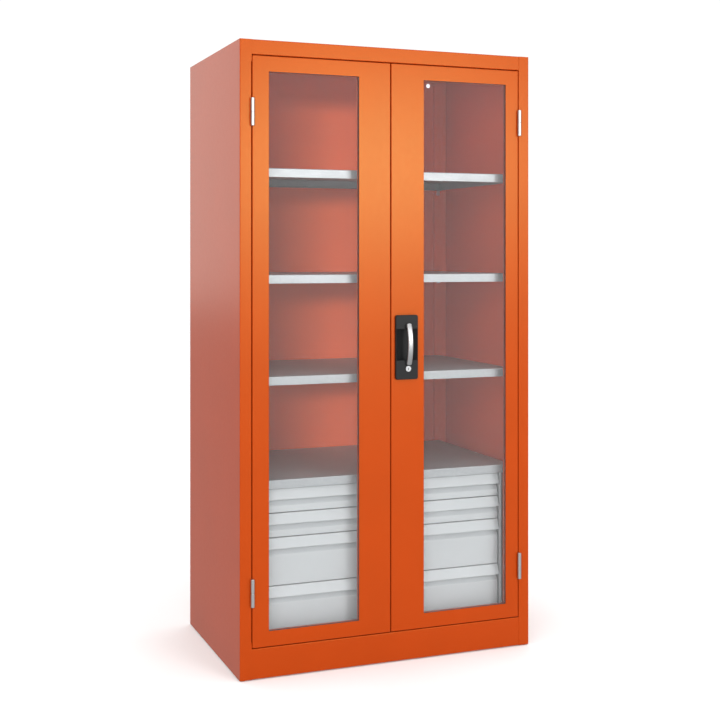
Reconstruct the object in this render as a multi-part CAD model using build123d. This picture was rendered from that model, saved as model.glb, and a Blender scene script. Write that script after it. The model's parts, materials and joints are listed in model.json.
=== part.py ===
from build123d import *
import math
import os

# A two-door storage cabinet with glazed doors, four shelves and four drawers.
# Millimetres. X runs to the right, Y to the back, Z up, and Z = 0 is the floor.
# Pieces are drawn with Y = 0 on the front face, and are saved with the origin
# at the bottom centre of the whole cabinet, its handle included.

# Carcass
width = 1000.0
depth = 600.0
height = 1950.0
sheet = 1.5
bend = 2.0
fit = 0.2
past = 1.0
foot_drop = 3.0
stile_width = 37.5
header_height = 46.0
plinth_height = 92.5
rear_flange = 40.0
top_return = 25.0
tray_flange = 25.0
roof_flange = 10.0

# Door frame and doors
door_gap = 2.5
centre_gap = 3.0
door_thickness = 20.0
door_sheet = 1.2
stop_gap = 2.0
stop_lip = 12.0
rail_lip = 20.0
seal_width = 6.0
seal_clear = 0.3
seal_margin = 1.0

# Windows: both cut-outs sit a little to the right of the mirrored place
window_inner_border = 110.8
window_outer_border = 49.7
window_shift = 3.2
window_foot = 47.0
window_head = 47.5
pane_thickness = 4.0
pane_overlap = 12.0
tape_front = 2.0
tape_rear = 1.5
tape_width = 8.0
reveal = 1.0

# Hinges
barrel_dia = 12.0
barrel_length = 85.0
barrel_clear = 0.5
barrel_split = 0.6
barrel_edge = 0.8
pin_dia = 6.0
pin_clear = 0.05
pin_cap = 4.0
pin_end_clear = 1.0
tab_thickness = 2.0
tab_depth = 14.0
lower_hinge_height = 267.0
upper_hinge_height = 1729.0

# Handle plate with its finger recess
plate_width = 77.0
plate_height = 205.0
plate_left = 14.0
plate_foot = 897.5
plate_proud = 9.0
plate_corner = 7.0
plate_edge = 1.2
recess_height = 100.0
recess_foot = 61.0
recess_depth = 20.0
recess_border = 1.5
recess_wall = 2.0
cut_clear = 1.0

# Lever, spindle and rack drive
lever_width = 17.5
lever_length = 132.5
lever_thickness = 9.0
lever_bow = 13.0
lever_seat = 0.3
lever_flat = 0.3
pad_edge = 1.5
lever_side = 42.5
lever_foot = 46.0
spindle_dia = 11.8
spindle_clear = 0.1
spindle_square = 8.0
spindle_shoulder = 1.0
spindle_tail = 2.0
tooth_count = 12
module_size = 2.0
addendum = 1.5
dedendum = 1.9
backlash = 0.5
flank_slope = 20.0
root_share = 1.3
tip_share = 0.45
rack_sink = 0.5
gear_thickness = 4.5
rack_reach = 10.0
rod_width = 6.6
rod_behind = 4.3
rod_clear = 1.0
lock_turn = 90.0
guide_length = 10.0
guide_wall = 3.0
guide_clear = 0.3
guide_shares = (0.45, 0.94)
cover_side = 6.0
cover_depth = 13.5
cover_sheet = 1.2
cover_above = 31.25
cover_below = 26.0

# Key cylinder
cylinder_foot = 34.0
cylinder_face = 18.5
cylinder_rim = 1.8
cylinder_edge = 0.5
cylinder_dia = 15.8
cylinder_clear = 0.1
plug_dia = 12.0
plug_clear = 0.05
plug_proud = 0.4
key_slot_width = 2.0
key_slot_height = 7.0
key_slot_depth = 6.0
cam_width = 8.0
cam_reach = 11.0
cam_thickness = 2.0
cylinder_tail = 3.0
plug_tail = 1.0

# Shelf uprights
upright_depth = 30.0
upright_setback = 6.0
upright_head = 20.0
rear_upright_width = 31.0
rear_upright_depth = 15.0
rear_upright_inset = 28.0
slot_width = 4.0
slot_height = 14.0
slot_pitch = 50.0
slot_margin = 40.0

# Shelves and their hooks
first_shelf_height = 1562.5
second_shelf_height = 1232.0
third_shelf_height = 916.5
fourth_shelf_height = 596.0
shelf_front = 42.0
shelf_sheet = 1.2
shelf_lip = 27.0
shelf_return = 16.0
flange_setback = 4.0
shelf_side_gap = 3.0
hook_sheet = 1.5
hook_width = 14.0
hook_arm = 20.0
hook_drop = 18.0
hook_rise = 6.0
hook_gap = 1.5

# Drawers: two low ones above two tall ones
low_drawer_pitch = 76.0
drawer_floor_gap = 21.5
drawer_gap = 2.5
face_front = 52.0
grip_front = 40.0
recess_back = 65.0
grip_height = 32.0
grip_under = 3.5
slope_height = 18.0
face_sheet = 1.2
box_front = 66.6
box_back_gap = 6.0
box_inset = 8.0
box_sheet = 1.2
box_foot = 6.0
box_head = 12.0
face_turn = 16.0
cradle_inset = 42.5
cradle_gap = 8.0
cradle_lip = 8.0
cradle_setback = 2.5
cradle_back_gap = 20.0
runner_front = 70.0
runner_back_gap = 8.0
runner_height = 36.0
runner_rise = 26.0
runner_sheet = 1.5
runner_overlap = 8.0
runner_gap = 2.0
runner_clear = 0.3

# Feet, gussets, catches and wall fixing holes
foot_dia = 20.0
foot_inset_x = 13.0
foot_inset_y = 14.0
foot_edge = 1.2
stud_dia = 8.0
stud_length = 28.0
gusset_depth = 58.0
gusset_sheet = 3.0
catch_width = 40.0
catch_height = 20.0
catch_depth = 13.0
catch_bracket = 1.5
catch_inset = 50.0
catch_pitch = 280.0
plate_gauge = 1.2
plate_margin = 2.0
wall_hole_dia = 16.0
wall_hole_side = 78.0
wall_hole_down = 20.0

# Places worked out from the sizes above
half = width / 2
mid = sheet / 2
side_inner = half - sheet - fit
stile_edge = half - stile_width
door_edge = stile_edge - door_gap
meeting_edge = centre_gap / 2
header_under = height - header_height
plinth_top = foot_drop + plinth_height
door_top = header_under - door_gap
door_bottom = plinth_top + door_gap
stop_front = door_thickness + stop_gap
stop_back = stop_front + sheet
lip_top = header_under - rail_lip
lip_bottom = plinth_top + rail_lip
back_inner = depth - 2 * sheet
floor_front = stop_back + fit
hinge_x = stile_edge - door_gap / 2
hinge_y = -(barrel_dia / 2 + barrel_clear)
inner_sheet_front = door_thickness - door_sheet
pane_front = door_sheet + tape_front
pane_back = pane_front + pane_thickness
window_bottom = door_bottom + window_foot
window_top = door_top - window_head
plate_x = plate_left + plate_width / 2
lever_x = plate_left + lever_side
lever_bottom = plate_foot + lever_foot
pivot_z = lever_bottom + lever_length - lever_width / 2
cylinder_z = plate_foot + cylinder_foot
recess_chord = plate_width / 2 - recess_border
recess_radius = (recess_chord ** 2 + recess_depth ** 2) / (2 * recess_depth)
recess_axis_y = -plate_proud + recess_depth - recess_radius
lever_reach = plate_proud + lever_seat + lever_thickness + lever_bow
front_y = -(depth - lever_reach) / 2
pitch_radius = module_size * tooth_count / 2
rod_front = door_thickness + rod_behind
rod_back = rod_front + gear_thickness
rod_travel = pitch_radius * math.radians(lock_turn)
rod_near = pitch_radius + dedendum
rod_far = rod_near + rod_width
upright_front = stop_back + upright_setback
upright_face = stile_edge
rear_upright_x = half - rear_upright_inset - rear_upright_width
rear_upright_front = back_inner - rear_upright_depth
shelf_half = upright_face - shelf_side_gap
shelf_back = rear_upright_front - hook_sheet - hook_gap
shelf_levels = (first_shelf_height, second_shelf_height, third_shelf_height, fourth_shelf_height)
drawer_top = fourth_shelf_height - shelf_lip - drawer_gap
drawer_room = drawer_top + drawer_gap - plinth_top - drawer_floor_gap
tall_drawer_pitch = drawer_room / 2 - low_drawer_pitch
drawer_pitches = (low_drawer_pitch, low_drawer_pitch, tall_drawer_pitch, tall_drawer_pitch)
cradle_face = stile_edge - cradle_inset
cradle_front = face_front + cradle_setback
cradle_back = rear_upright_front - cradle_back_gap
drawer_half = cradle_face - cradle_gap
box_back = cradle_back - box_back_gap
runner_back = box_back - runner_back_gap
box_half = drawer_half - box_inset


def block(x0, x1, y0, y1, z0, z1):
    """Box between two corners."""
    centre = Pos((x0 + x1) / 2, (y0 + y1) / 2, (z0 + z1) / 2)
    return centre * Box(x1 - x0, y1 - y0, z1 - z0)


def rod_y(radius, x, z, y0, y1):
    """Round bar along Y."""
    turned = Rot(90, 0, 0) * Cylinder(radius, y1 - y0)
    return Pos(x, (y0 + y1) / 2, z) * turned


def rod_z(radius, x, y, z0, z1):
    """Round bar along Z."""
    return Pos(x, y, (z0 + z1) / 2) * Cylinder(radius, z1 - z0)


def fold_upright(points, z0, z1, gauge):
    """Sheet bent along a plan outline, given by the middle of the sheet."""
    outline = trace(FilletPolyline(*points, radius=bend), gauge)
    return Pos(0, 0, z0) * extrude(outline, amount=z1 - z0, dir=(0, 0, 1))


def fold_across(points, x0, x1, gauge, radius):
    """Sheet bent along a side outline of (Y, Z) points, given by its middle."""
    outline = trace(FilletPolyline(*points, radius=radius), gauge)
    return extrude(Plane.YZ.offset(x0) * outline, amount=x1 - x0, dir=(1, 0, 0))


def tray(x0, x1, y0, y1, z0, z1, gauge):
    """Sheet with four flanges turned down."""
    inside = block(x0 + gauge, x1 - gauge, y0 + gauge, y1 - gauge, z0 - past, z1 - gauge)
    return block(x0, x1, y0, y1, z0, z1) - inside


def frame_ring(x0, x1, z0, z1, y0, y1, border):
    """Flat ring round a rectangular opening, widened by its border."""
    outer = block(x0 - border, x1 + border, y0, y1, z0 - border, z1 + border)
    return outer - block(x0, x1, y0 - past, y1 + past, z0, z1)


def mirrored(shape):
    return mirror(shape, about=Plane.YZ)


def left_and_right(shape):
    return [shape, mirrored(shape)]


def save(node, *shapes):
    placed = [Pos(0, front_y, 0) * shape for shape in shapes]
    solids = [solid for shape in placed for solid in shape.solids()]
    os.makedirs("parts", exist_ok=True)
    export_step(Compound(solids), f"parts/{node}.step")


def side_panel():
    points = [
        (stile_edge - stop_lip, stop_front + mid),
        (stile_edge + mid, stop_front + mid),
        (stile_edge + mid, mid),
        (half - mid, mid),
        (half - mid, depth - mid),
        (half - rear_flange, depth - mid),
    ]
    panel = fold_upright(points, foot_drop, height, sheet)
    lip_left = stile_edge - stop_lip - past
    lip_zone = (lip_left, stile_edge, stop_front - past, stop_back + past)
    panel -= block(*lip_zone, lip_top - fit, height + past)
    panel -= block(*lip_zone, foot_drop - past, lip_bottom + fit)
    return panel


def back_panel():
    reach = side_inner - bend
    panel = block(-reach, reach, back_inner, depth - sheet, foot_drop, height)
    hole_z = height - wall_hole_down
    for x in (-half + wall_hole_side, half - wall_hole_side):
        panel -= rod_y(wall_hole_dia / 2, x, hole_z, back_inner - past, depth)
    return panel


def roof_panel():
    front = top_return + fit
    back = back_inner - fit
    roof = tray(-side_inner, side_inner, front, back, height - roof_flange, height, sheet)
    ear = block(stile_edge + sheet + bend / 2, side_inner - bend, sheet + fit, front + sheet,
                height - sheet, height)
    return roof + left_and_right(ear)


def header_rail():
    points = [
        (top_return, height - mid),
        (mid, height - mid),
        (mid, header_under + mid),
        (stop_front + mid, header_under + mid),
        (stop_front + mid, lip_top),
    ]
    end = stile_edge - fit
    return fold_across(points, -end, end, sheet, bend)


def plinth_rail():
    points = [
        (top_return, foot_drop + mid),
        (mid, foot_drop + mid),
        (mid, plinth_top - mid),
        (stop_front + mid, plinth_top - mid),
        (stop_front + mid, lip_bottom),
    ]
    end = stile_edge - fit
    return fold_across(points, -end, end, sheet, bend)


def floor_panel():
    back = back_inner - fit
    return tray(-side_inner, side_inner, floor_front, back, plinth_top - tray_flange, plinth_top, sheet)


def rear_brace():
    """Channel across the back, under the floor panel."""
    points = [
        (back_inner - fit - tray_flange, foot_drop + mid),
        (back_inner - fit - mid, foot_drop + mid),
        (back_inner - fit - mid, plinth_top - tray_flange - fit),
    ]
    end = stile_edge - fit
    return fold_across(points, -end, end, sheet, bend)


def door_seals():
    front = door_thickness + seal_clear
    reach = stile_edge - stop_lip
    low = lip_bottom + seal_margin
    high = lip_top - seal_margin
    side = block(reach + seal_margin, reach + seal_margin + seal_width, front, stop_front, low, high)
    top_foot = lip_top + seal_margin
    top = block(-reach, reach, front, stop_front, top_foot, top_foot + seal_width)
    bottom_head = lip_bottom - seal_margin
    bottom = block(-reach, reach, front, stop_front, bottom_head - seal_width, bottom_head)
    return left_and_right(side) + [top, bottom]


def slot_levels():
    first = plinth_top + slot_margin
    last = height - upright_head - slot_margin
    count = int((last - first) / slot_pitch) + 1
    return [first + slot_pitch * step for step in range(count)]


def front_upright():
    outer = half - sheet - fit
    points = [
        (outer, upright_front + mid),
        (upright_face + mid, upright_front + mid),
        (upright_face + mid, upright_front + upright_depth - mid),
        (outer, upright_front + upright_depth - mid),
    ]
    upright = fold_upright(points, plinth_top, height - upright_head, sheet)
    y = upright_front + upright_depth / 2
    slots = [
        block(upright_face - past, upright_face + sheet + past,
              y - slot_width / 2, y + slot_width / 2, z, z + slot_height)
        for z in slot_levels()
    ]
    return upright - slots


def rear_upright():
    points = [
        (rear_upright_x + mid, back_inner - fit),
        (rear_upright_x + mid, rear_upright_front + mid),
        (rear_upright_x + rear_upright_width - mid, rear_upright_front + mid),
        (rear_upright_x + rear_upright_width - mid, back_inner - fit),
    ]
    upright = fold_upright(points, plinth_top, height - upright_head, sheet)
    x = rear_upright_x + rear_upright_width / 2
    y = rear_upright_front
    slots = [
        block(x - slot_width / 2, x + slot_width / 2, y - past, y + sheet + past, z, z + slot_height)
        for z in slot_levels()
    ]
    return upright - slots


def shelf(level):
    """Sheet with a lip and a return fold at front and back, and a flange at each side."""
    under = level - shelf_lip
    half_gauge = shelf_sheet / 2
    front = shelf_front + half_gauge
    back = shelf_back - half_gauge
    points = [
        (front + shelf_return, under + half_gauge),
        (front, under + half_gauge),
        (front, level - half_gauge),
        (back, level - half_gauge),
        (back, under + half_gauge),
        (back - shelf_return, under + half_gauge),
    ]
    body = fold_across(points, -shelf_half, shelf_half, shelf_sheet, bend)
    flange = block(shelf_half - shelf_sheet, shelf_half, shelf_front + flange_setback,
                   shelf_back - flange_setback, under, level)
    return body + left_and_right(flange)


def front_hook(level):
    under = level - shelf_lip
    y = upright_front + upright_depth / 2
    near = y - hook_width / 2
    far = y + hook_width / 2
    leg = block(upright_face - hook_sheet, upright_face, near, far, under - hook_drop, under + hook_rise)
    arm = block(upright_face - hook_arm, upright_face, near, far, under - hook_sheet, under)
    return leg + arm


def rear_hook(level):
    under = level - shelf_lip
    x = rear_upright_x + rear_upright_width / 2
    near = x - hook_width / 2
    far = x + hook_width / 2
    y = rear_upright_front
    leg = block(near, far, y - hook_sheet, y, under - hook_drop, under + hook_rise)
    arm = block(near, far, y - hook_arm, y, under - hook_sheet, under)
    return leg + arm


def shelf_hooks():
    hooks = []
    for level in shelf_levels:
        hooks += left_and_right(front_hook(level))
        hooks += left_and_right(rear_hook(level))
    return hooks


def drawer_cradle():
    lip = cradle_face + cradle_lip
    points = [
        (lip, cradle_front + mid),
        (cradle_face + mid, cradle_front + mid),
        (cradle_face + mid, cradle_back - mid),
        (lip, cradle_back - mid),
    ]
    return fold_upright(points, plinth_top, shelf_levels[-1] - shelf_lip, sheet)


def drawer_places():
    """Bottom and top of each drawer front, from the top drawer down."""
    places = []
    top = drawer_top
    for pitch in drawer_pitches:
        places.append((top - pitch + drawer_gap, top))
        top -= pitch
    return places


def drawer_front(bottom, top):
    half_gauge = face_sheet / 2
    under = top - grip_height - grip_under
    turn_back = box_front - half_gauge
    points = [
        (turn_back, top - face_turn),
        (turn_back, top - half_gauge),
        (face_front + half_gauge, top - half_gauge),
        (grip_front + half_gauge, top - grip_height),
        (recess_back, under),
        (face_front + half_gauge, under - slope_height),
        (face_front + half_gauge, bottom + half_gauge),
        (turn_back, bottom + half_gauge),
        (turn_back, bottom + face_turn),
    ]
    return fold_across(points, -drawer_half, drawer_half, face_sheet, face_sheet)


def drawer_box(bottom, top):
    foot = bottom + box_foot
    head = top - box_head
    outer = block(-box_half, box_half, box_front, box_back, foot, head)
    wall = box_sheet
    reach = box_half - wall
    return outer - block(-reach, reach, box_front + wall, box_back - wall, foot + wall, head + past)


def runner_profile(web, tip, z, height_over, y0, y1):
    """Channel with its web at one X and its flanges reaching to another."""
    low = z - height_over / 2
    high = z + height_over / 2
    inward = runner_sheet if tip > web else -runner_sheet
    x0, x1 = sorted((web, tip))
    w0, w1 = sorted((web + inward, tip + inward))
    return block(x0, x1, y0, y1, low, high) - block(
        w0, w1, y0 - past, y1 + past, low + runner_sheet, high - runner_sheet)


def fixed_runner(bottom):
    z = bottom + runner_rise
    tip = cradle_face - runner_sheet - runner_overlap
    return runner_profile(cradle_face, tip, z, runner_height, runner_front, runner_back)


def moving_runner(bottom):
    z = bottom + runner_rise
    tall = runner_height - 2 * runner_sheet - 2 * runner_clear
    tip = cradle_face - runner_sheet - runner_gap
    return runner_profile(box_half, tip, z, tall, runner_front, runner_back)


def knuckle(z0, z1):
    barrel = rod_z(barrel_dia / 2, hinge_x, hinge_y, z0, z1)
    return chamfer(barrel.edges().filter_by(GeomType.CIRCLE), barrel_edge)


def frame_knuckle(level):
    low = level - barrel_length / 2
    high = level - barrel_split / 2
    tab = block(stile_edge - tab_thickness, stile_edge, hinge_y, tab_depth, low, high)
    return knuckle(low, high) + tab - rod_z(pin_dia / 2, hinge_x, hinge_y, low - past, high + past)


def door_knuckle(level):
    low = level + barrel_split / 2
    high = level + barrel_length / 2
    tab = block(door_edge, door_edge + tab_thickness, hinge_y, tab_depth, low, high)
    bore = rod_z(pin_dia / 2 + pin_clear, hinge_x, hinge_y, low - past, high - pin_cap)
    return knuckle(low, high) + tab - bore


def hinge_pin(level):
    top = level + barrel_length / 2 - pin_cap - pin_end_clear
    return rod_z(pin_dia / 2, hinge_x, hinge_y, level - barrel_length / 2, top)


def window_span(side):
    """Left and right edge of a window, for the door on side -1 or 1."""
    near = side * (meeting_edge + window_inner_border) + window_shift
    far = side * (door_edge - window_outer_border) + window_shift
    return min(near, far), max(near, far)


def door_span(side):
    return min(side * meeting_edge, side * door_edge), max(side * meeting_edge, side * door_edge)


def rounded_front(body, radius):
    """Block with its front and its upright corners rounded, as a sheet folds."""
    front = body.faces().sort_by(Axis.Y)[0]
    corners = body.edges().filter_by(Axis.Y)
    return fillet(front.edges() + corners, radius)


def door_skin(side):
    x0, x1 = door_span(side)
    w0, w1 = window_span(side)
    back = inner_sheet_front
    skin = rounded_front(block(x0, x1, 0, back, door_bottom, door_top), bend)
    room = block(x0 + door_sheet, x1 - door_sheet, door_sheet, back + past,
                 door_bottom + door_sheet, door_top - door_sheet)
    skin -= rounded_front(room, bend - door_sheet)
    return skin - block(w0, w1, -past, door_sheet + past, window_bottom, window_top)


def door_inner_frame(side):
    x0, x1 = door_span(side)
    w0, w1 = window_span(side)
    sheet_back = block(x0, x1, inner_sheet_front, door_thickness, door_bottom, door_top)
    z0 = window_bottom - reveal
    z1 = window_top + reveal
    opening = block(w0 - reveal, w1 + reveal, 0, door_thickness + past, z0, z1)
    flange = frame_ring(w0 - reveal, w1 + reveal, z0, z1, pane_back + tape_rear, door_thickness, door_sheet)
    return sheet_back - opening + flange


def window_pane(side):
    w0, w1 = window_span(side)
    return block(w0 - pane_overlap, w1 + pane_overlap, pane_front, pane_back,
                 window_bottom - pane_overlap, window_top + pane_overlap)


def window_tapes(side):
    w0, w1 = window_span(side)
    edge = reveal
    z0 = window_bottom - edge
    z1 = window_top + edge
    front = frame_ring(w0 - edge, w1 + edge, z0, z1, door_sheet, pane_front, tape_width)
    rear = frame_ring(w0 - edge, w1 + edge, z0, z1, pane_back, pane_back + tape_rear, tape_width)
    return [front, rear]


def recess_cylinder(grow):
    """Upright cylinder that hollows the finger recess, grown by a wall."""
    low = plate_foot + recess_foot - grow
    high = low + recess_height + 2 * grow
    return rod_z(recess_radius + grow, plate_x, recess_axis_y, low, high)


def recess_cut():
    """Room in the door skin for the back of the recess."""
    grow = recess_wall + cut_clear
    reach = math.sqrt((recess_radius + grow) ** 2 - recess_axis_y ** 2)
    low = plate_foot + recess_foot - grow
    return block(plate_x - reach, plate_x + reach, -past, door_sheet + past,
                 low, low + recess_height + 2 * grow)


def handle_plate():
    outline = RectangleRounded(plate_width, plate_height, plate_corner)
    centre_z = plate_foot + plate_height / 2
    plate = extrude(Plane.XZ * outline, amount=plate_proud)
    plate = Pos(plate_x, 0, centre_z) * plate
    front_edges = plate.faces().sort_by(Axis.Y)[0].edges()
    plate = fillet(front_edges, plate_edge)
    tub_room = block(plate_left, plate_left + plate_width, -past, door_thickness,
                     plate_foot, plate_foot + plate_height)
    plate += recess_cylinder(recess_wall) & tub_room
    plate -= recess_cylinder(0)
    front = -plate_proud - past
    plate -= rod_y(spindle_dia / 2 + spindle_clear, lever_x, pivot_z, front, past)
    return plate - rod_y(cylinder_dia / 2 + cylinder_clear, lever_x, cylinder_z, front, past)


def right_door_skin():
    skin = door_skin(1) - recess_cut()
    for z, size in ((pivot_z, spindle_dia), (cylinder_z, cylinder_dia)):
        skin -= rod_y(size / 2 + cut_clear, lever_x, z, -past, door_sheet + past)
    return skin


def right_door_inner_frame():
    inner = door_inner_frame(1)
    for z, size in ((pivot_z, spindle_dia), (cylinder_z, cylinder_dia)):
        inner -= rod_y(size / 2 + cut_clear, lever_x, z, inner_sheet_front - past, door_thickness + past)
    return inner


def handle_lever():
    back = -plate_proud - lever_seat
    centre = back - lever_thickness / 2
    low = lever_bottom
    high = lever_bottom + lever_length
    arc = ThreePointArc((centre, low), (centre - lever_bow, (low + high) / 2), (centre, high))
    path = Plane.YZ.offset(lever_x) * arc
    section = Plane(origin=path @ 0, x_dir=(1, 0, 0), z_dir=path % 0)
    corner = lever_thickness / 2 - lever_flat
    bow = sweep(section * RectangleRounded(lever_width, lever_thickness, corner), path)
    ends = SlotOverall(lever_length, lever_width, rotation=90)
    reach = 2 * (lever_thickness + lever_bow)
    outline = Pos(lever_x, 0, (low + high) / 2) * extrude(Plane.XZ * ends, amount=reach)
    bow = bow & outline
    for z in (low + lever_width / 2, high - lever_width / 2):
        pad = rod_y(lever_width / 2, lever_x, z, centre - lever_bow / 4, back)
        bow += fillet(pad.faces().sort_by(Axis.Y)[0].edges(), pad_edge)
    return bow & block(lever_x - lever_width, lever_x + lever_width, -reach, back, low - past, high + past)


def handle_spindle():
    front = -plate_proud - lever_seat
    shoulder = rod_front - spindle_shoulder
    round_part = rod_y(spindle_dia / 2, lever_x, pivot_z, front, shoulder)
    side = spindle_square / 2
    square = block(lever_x - side, lever_x + side, shoulder, rod_back + spindle_tail,
                   pivot_z - side, pivot_z + side)
    return round_part + square


def flank_points(centre_angle):
    """Four points of one pinion tooth, straight-sided and slim enough to run."""
    points = []
    tip = pitch_radius + addendum
    root = pitch_radius - dedendum
    at_pitch = (math.pi * module_size - backlash) / 2
    widths = ((root, at_pitch * root_share), (pitch_radius, at_pitch), (tip, at_pitch * tip_share))
    for radius, wide in widths:
        points.append((radius, centre_angle - wide / 2 / radius))
    for radius, wide in reversed(widths):
        points.append((radius, centre_angle + wide / 2 / radius))
    return [(radius * math.cos(angle), radius * math.sin(angle)) for radius, angle in points]


def drive_pinion():
    corners = []
    for tooth in range(tooth_count):
        corners += flank_points(2 * math.pi * tooth / tooth_count)
    outline = make_face(Polyline(*corners, close=True))
    disc = extrude(Plane.XZ * outline, amount=-gear_thickness)
    disc = Pos(lever_x, rod_front, pivot_z) * disc
    side = spindle_square / 2
    return disc - block(lever_x - side, lever_x + side, rod_front - past, rod_back + past,
                        pivot_z - side, pivot_z + side)


def rack_tooth(side, z):
    """Rack tooth that points from the bar towards the pinion."""
    tip_x = lever_x + side * (pitch_radius - addendum)
    root_x = lever_x + side * (rod_near + rack_sink)
    at_pitch = (math.pi * module_size - backlash) / 2
    slope = math.tan(math.radians(flank_slope))
    tip_half = at_pitch / 2 - slope * addendum
    root_half = at_pitch / 2 + slope * (dedendum + rack_sink)
    corners = [(tip_x, z - tip_half), (tip_x, z + tip_half), (root_x, z + root_half), (root_x, z - root_half)]
    outline = make_face(Polyline(*corners, close=True))
    return Pos(0, rod_front, 0) * extrude(Plane.XZ * outline, amount=-gear_thickness)


def lock_rod(side):
    """Flat rod with a rack at the pinion: side 1 runs up, side -1 runs down."""
    pitch = math.pi * module_size
    x0, x1 = sorted((lever_x + side * rod_near, lever_x + side * rod_far))
    start = pivot_z - side * (rod_travel + rack_reach)
    end = lip_top - rod_clear if side > 0 else lip_bottom + rod_clear
    z0, z1 = sorted((start, end))
    bar = block(x0, x1, rod_front, rod_back, z0, z1)
    steps = int((rod_travel + rack_reach) / pitch)
    for step in range(-1, steps):
        bar += rack_tooth(side, pivot_z - side * pitch * (step + 0.5))
    return bar


def rod_guide(side, z):
    x = lever_x + side * (rod_near + rod_far) / 2
    reach = rod_width / 2 + guide_clear + guide_wall
    room = rod_width / 2 + guide_clear
    back = rod_back + guide_clear + guide_wall
    body = block(x - reach, x + reach, door_thickness, back, z, z + guide_length)
    return body - block(x - room, x + room, rod_front - guide_clear, rod_back + guide_clear,
                        z - past, z + guide_length + past)


def rod_guides():
    upper_span = lip_top - pivot_z
    lower_span = pivot_z - lip_bottom
    upper = [rod_guide(1, pivot_z + upper_span * share) for share in guide_shares]
    lower = [rod_guide(-1, pivot_z - lower_span * share) for share in guide_shares]
    return upper + lower


def cover_bounds():
    reach = rod_far + cover_side
    return lever_x - reach, lever_x + reach, cylinder_z - cover_below, pivot_z + cover_above


def lock_cover():
    x0, x1, z0, z1 = cover_bounds()
    wall = cover_sheet
    back = door_thickness + cover_depth
    cover = block(x0, x1, door_thickness, back, z0, z1)
    cover -= block(x0 + wall, x1 - wall, door_thickness - past, back - wall, z0 + wall, z1 - wall)
    room = rod_width / 2 + guide_clear
    for side, z in ((1, z1), (-1, z0)):
        x = lever_x + side * (rod_near + rod_far) / 2
        cover -= block(x - room, x + room, rod_front - guide_clear, rod_back + guide_clear,
                       z - 2 * wall, z + 2 * wall)
    return cover


def cylinder_body():
    rim = rod_y(cylinder_face / 2, lever_x, cylinder_z, -plate_proud - cylinder_rim, -plate_proud)
    rim = chamfer(rim.faces().sort_by(Axis.Y)[0].edges(), cylinder_edge)
    barrel = rod_y(cylinder_dia / 2, lever_x, cylinder_z, -plate_proud, door_thickness + cylinder_tail)
    mouth = -plate_proud - cylinder_rim - past
    back = door_thickness + cylinder_tail + past
    bore = rod_y(plug_dia / 2 + plug_clear, lever_x, cylinder_z, mouth, back)
    return rim + barrel - bore


def key_plug():
    front = -plate_proud - cylinder_rim - plug_proud
    plug = rod_y(plug_dia / 2, lever_x, cylinder_z, front, door_thickness + cylinder_tail + plug_tail)
    half_wide = key_slot_width / 2
    half_tall = key_slot_height / 2
    return plug - block(lever_x - half_wide, lever_x + half_wide, front - past, front + key_slot_depth,
                        cylinder_z - half_tall, cylinder_z + half_tall)


def cylinder_cam():
    front = door_thickness + cylinder_tail + plug_tail
    half_wide = cam_width / 2
    return block(lever_x - half_wide, lever_x + half_wide, front, front + cam_thickness,
                 cylinder_z - half_wide, cylinder_z + cam_reach)


def foot(x, y):
    disc = rod_z(foot_dia / 2, x, y, 0, foot_drop + sheet)
    disc = fillet(disc.edges().group_by(Axis.Z)[0], foot_edge)
    return disc + rod_z(stud_dia / 2, x, y, foot_drop, stud_length)


def foot_places():
    x = half - foot_inset_x
    return [(sx * x, y) for sx in (-1, 1) for y in (foot_inset_y, depth - foot_inset_y)]


def corner_gussets():
    x0 = stile_edge + sheet + fit
    low = foot_drop + sheet
    gussets = []
    for x, y in foot_places():
        if y < depth / 2:
            y0 = sheet + bend
        else:
            y0 = back_inner - sheet - 2 * fit - gusset_depth
        plate = block(x0, side_inner, y0, y0 + gusset_depth, low, low + gusset_sheet)
        if x < 0:
            plate = mirrored(plate)
        gussets.append(plate - rod_z(stud_dia / 2, x, y, 0, stud_length + past))
    return gussets


def catch_spans():
    """Left and right edge of each magnet catch under the header, on the left door's side."""
    starts = (-catch_inset, -catch_inset - catch_pitch)
    return [(start - catch_width, start) for start in starts]


def magnet_catches():
    foot = lip_top - seal_margin - catch_height
    catches = []
    for x0, x1 in catch_spans():
        body = block(x0, x1, stop_front, stop_front + catch_depth, foot, foot + catch_height)
        tab = block(x0, x1, stop_back, stop_back + catch_bracket, foot, foot + catch_height + stop_lip)
        catches.append(body + tab)
    return catches


def catch_plates():
    foot = lip_top - seal_margin - catch_height + plate_margin
    tall = catch_height - 2 * plate_margin
    back = door_thickness + plate_gauge
    return [block(x0, x1, door_thickness, back, foot, foot + tall) for x0, x1 in catch_spans()]


save("right_side_panel", side_panel())
save("left_side_panel", mirrored(side_panel()))
save("back_panel", back_panel())
save("roof_panel", roof_panel())
save("header_rail", header_rail())
save("plinth_rail", plinth_rail())
save("floor_panel", floor_panel())
save("rear_brace", rear_brace())
save("door_seals", *door_seals())
save("front_right_upright", front_upright())
save("front_left_upright", mirrored(front_upright()))
save("rear_right_upright", rear_upright())
save("rear_left_upright", mirrored(rear_upright()))
for number, level in enumerate(shelf_levels, start=1):
    save(f"shelf_{number}", shelf(level))
save("shelf_hooks", *shelf_hooks())
save("right_drawer_cradle", drawer_cradle())
save("left_drawer_cradle", mirrored(drawer_cradle()))

fixed_runners = []
for number, (bottom, top) in enumerate(drawer_places(), start=1):
    save(f"drawer_{number}_front", drawer_front(bottom, top))
    save(f"drawer_{number}_box", drawer_box(bottom, top))
    save(f"drawer_{number}_rails", *left_and_right(moving_runner(bottom)))
    fixed_runners += left_and_right(fixed_runner(bottom))
save("fixed_runners", *fixed_runners)

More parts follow.
